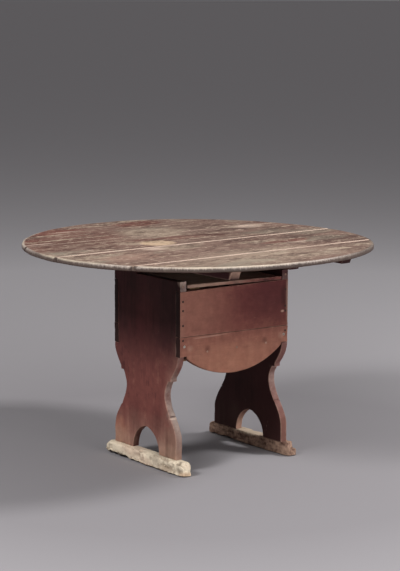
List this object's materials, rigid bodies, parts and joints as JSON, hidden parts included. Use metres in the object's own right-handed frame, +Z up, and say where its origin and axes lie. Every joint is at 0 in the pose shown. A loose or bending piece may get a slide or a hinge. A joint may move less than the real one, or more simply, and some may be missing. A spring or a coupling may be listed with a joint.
{
  "type": "hutch table",
  "caption": "Round-top hutch table: scrolled end panels on shoe feet hold a lidded box, and the board top tilts back on wooden pins.",
  "frame": {"origin": "on the floor, under the middle of the box that bounds the round top", "axes": "+X to the right along the front board, +Y to the back where the top's pivot is, +Z up"},
  "size_m": [1.1874, 1.1862, 0.745],
  "materials": {
    "worn_top": "worn, scrubbed red-brown paint over bare grain",
    "worn_paint": "old dull red-brown milk paint, rubbed at the edges",
    "under_top": "old paint, unworn and dusty",
    "weathered_wood": "bare, bleached and eroded",
    "bare_wood": "bare, darkened with age",
    "dark_iron": "forged, rusted dark",
    "bright_iron": "forged, rubbed bright"
  },
  "bodies": {
    "base": {"foot_left": "weathered_wood", "foot_right": "weathered_wood", "foot_pegs": "bare_wood", "end_panel_left": "worn_paint", "end_panel_right": "worn_paint", "front_board_upper": "worn_paint", "front_board_lower": "worn_paint", "back_board_upper": "worn_paint", "back_board_lower": "worn_paint", "front_nails": "dark_iron", "back_nails": "dark_iron", "rose_head_nails": "bright_iron", "ear_nails": "dark_iron", "floor_board_front": "bare_wood", "floor_board_rear": "bare_wood", "floor_nails": "dark_iron", "floor_ledger_left": "bare_wood", "floor_ledger_right": "bare_wood", "ledger_nails": "dark_iron"},
    "table_top": {"top_board_front": "worn_top", "top_board_mid_front": "worn_top", "top_board_mid_rear": "worn_top", "top_board_rear": "worn_top", "cleat_left": "under_top", "cleat_right": "under_top", "cleat_middle": "under_top", "cleat_nails": "dark_iron", "pivot_pin_left": "bare_wood", "pivot_pin_right": "bare_wood"},
    "lid": {"lid_board": "worn_paint", "lid_batten_left": "bare_wood", "lid_batten_right": "bare_wood", "lid_batten_nails": "dark_iron", "lid_pins": "dark_iron"}
  },
  "joints": [
    {"name": "top_tilt", "type": "hinge", "parent": "base", "child": "table_top", "pos_m": [0.01567, 0.12874, 0.697], "axis": [-1, 0, 0], "range_deg": [0, 90]},
    {"name": "lid_lift", "type": "hinge", "parent": "base", "child": "lid", "pos_m": [0.01567, 0.12274, 0.62712], "axis": [-0.9997, 0, 0.0227], "range_deg": [0, 12]}
  ]
}
